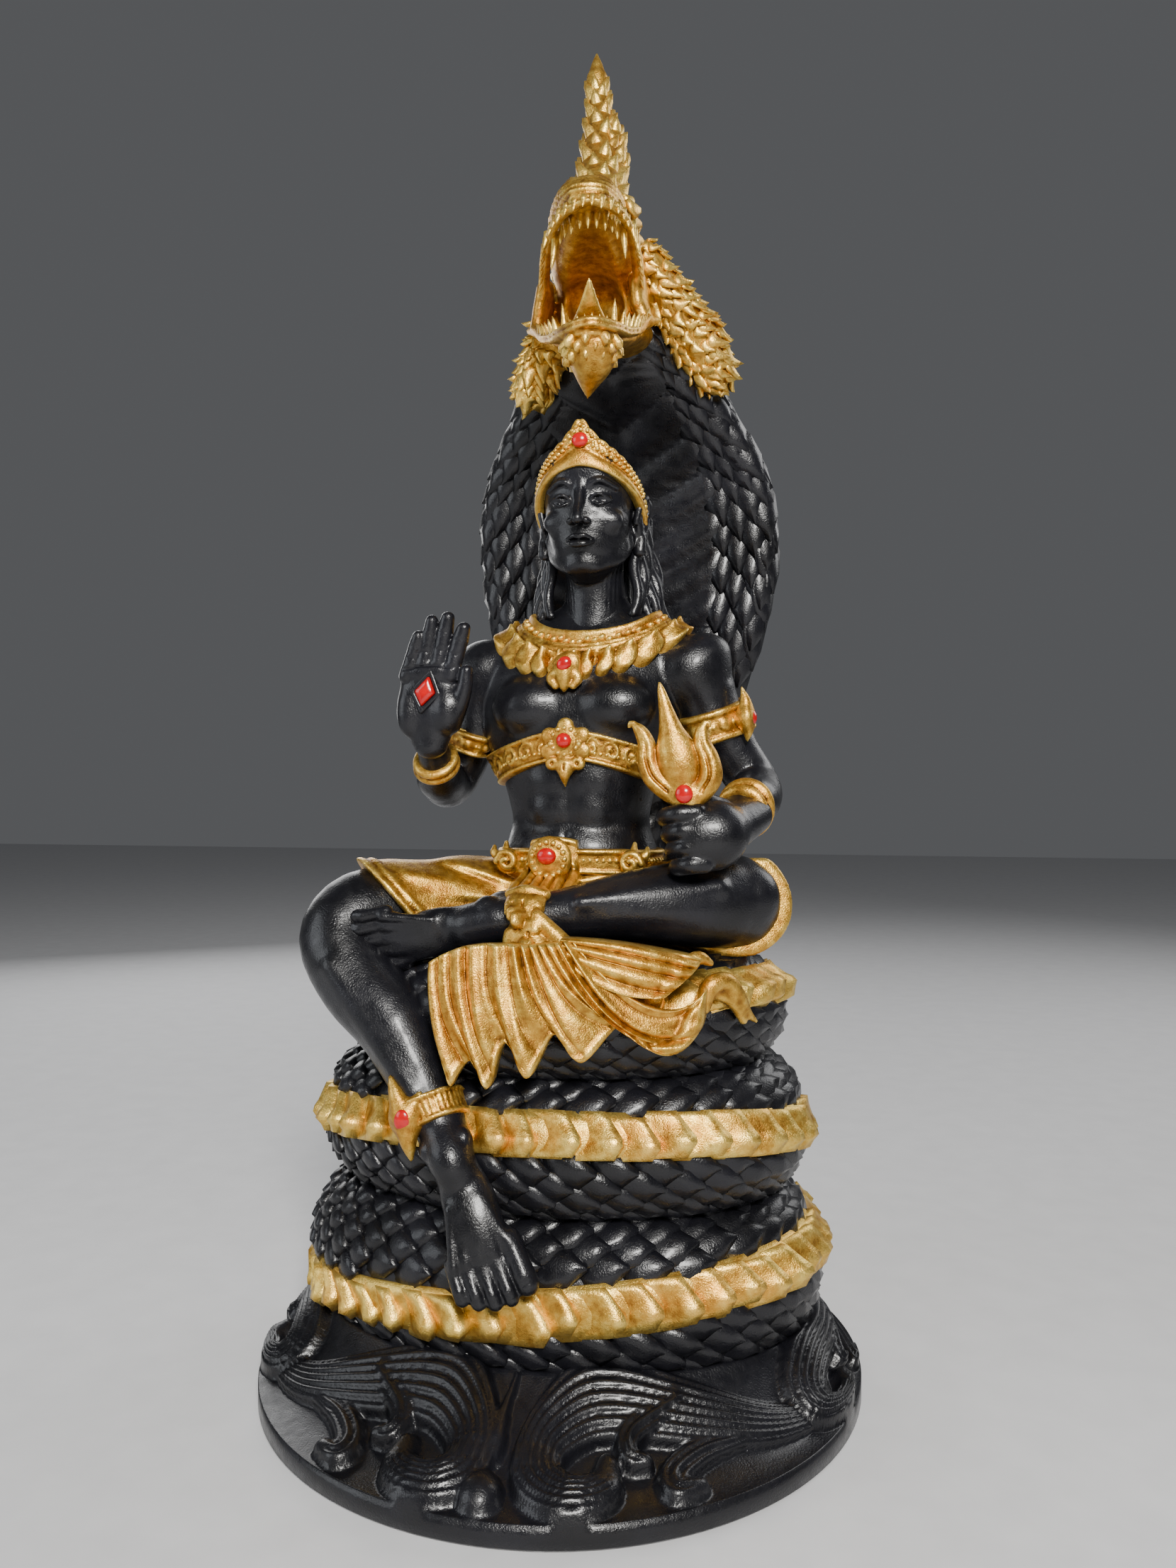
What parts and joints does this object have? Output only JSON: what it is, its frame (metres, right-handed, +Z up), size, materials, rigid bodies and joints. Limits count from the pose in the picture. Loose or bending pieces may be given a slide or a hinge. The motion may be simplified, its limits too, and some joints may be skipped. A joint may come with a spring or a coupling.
{
  "type": "naga king statue",
  "caption": "Seated crowned figure with raised palm and trident on a coiled naga whose hood and open-mouthed head rise behind, on a round wave-carved plinth.",
  "frame": {"origin": "middle of the plinth's underside", "axes": "+Z up through the statue, -Y the way the figure faces, +X to the figure's left"},
  "size_m": [0.134, 0.134, 0.2991],
  "materials": {
    "black_lacquer": "satin to gloss black paint over a moulded body",
    "gold_paint": "metallic gold paint, slightly grainy, brown in the hollows",
    "red_paint": "bright red gloss paint on the raised stones"
  },
  "bodies": {
    "root": {"plinth": "black_lacquer", "naga": "black_lacquer", "figure": "black_lacquer", "trident": "gold_paint"}
  },
  "joints": []
}
